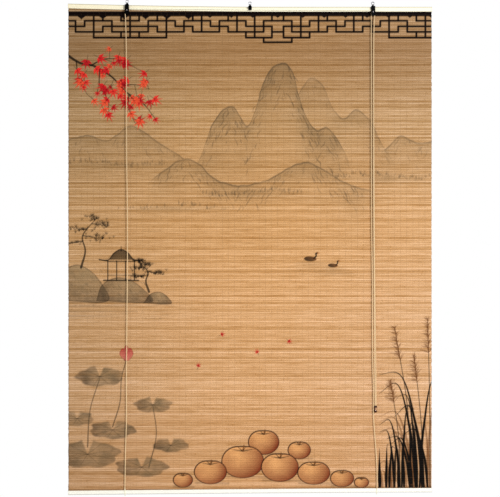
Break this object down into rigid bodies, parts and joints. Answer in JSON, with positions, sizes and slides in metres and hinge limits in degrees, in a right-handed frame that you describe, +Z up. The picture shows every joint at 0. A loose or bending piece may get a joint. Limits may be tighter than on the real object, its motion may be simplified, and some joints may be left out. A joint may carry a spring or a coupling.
{
  "type": "bamboo roll-up blind with headrail",
  "caption": "Roll-up blind of woven bamboo slats, printed on its front, on a batten headrail with ring hangers, pulley clips, lift cords and a pull toggle.",
  "frame": {"origin": "inside top of the middle hanging ring, where it rests on its hook", "axes": "+Z up, the printed front faces -Y, +X along the headrail to the side with the pull cords"},
  "size_m": [0.9, 0.0197, 1.2281],
  "materials": {
    "rail": "cream painted batten, satin, faint grain",
    "bamboo": "thin bamboo slats, matt, brown and tan, printed on the front",
    "clip": "black enamel, glossy",
    "ring": "zinc plated wire and rivets",
    "wheel": "black moulded wheel",
    "cord": "braided cotton cord, cream",
    "toggle": "turned barrel, dark red-brown, high gloss"
  },
  "bodies": {
    "root": {"headrail": "rail", "bottom_rail": "rail", "woven_panel": "bamboo", "clip_left": "clip", "clip_middle": "clip", "clip_right": "clip", "eye_left": "ring", "eye_middle": "ring", "eye_right": "ring", "wheel_left": "wheel", "wheel_right": "wheel", "rivet_left": "ring", "rivet_right": "ring", "cord_left": "cord", "cord_right": "cord", "toggle": "toggle"}
  },
  "joints": []
}
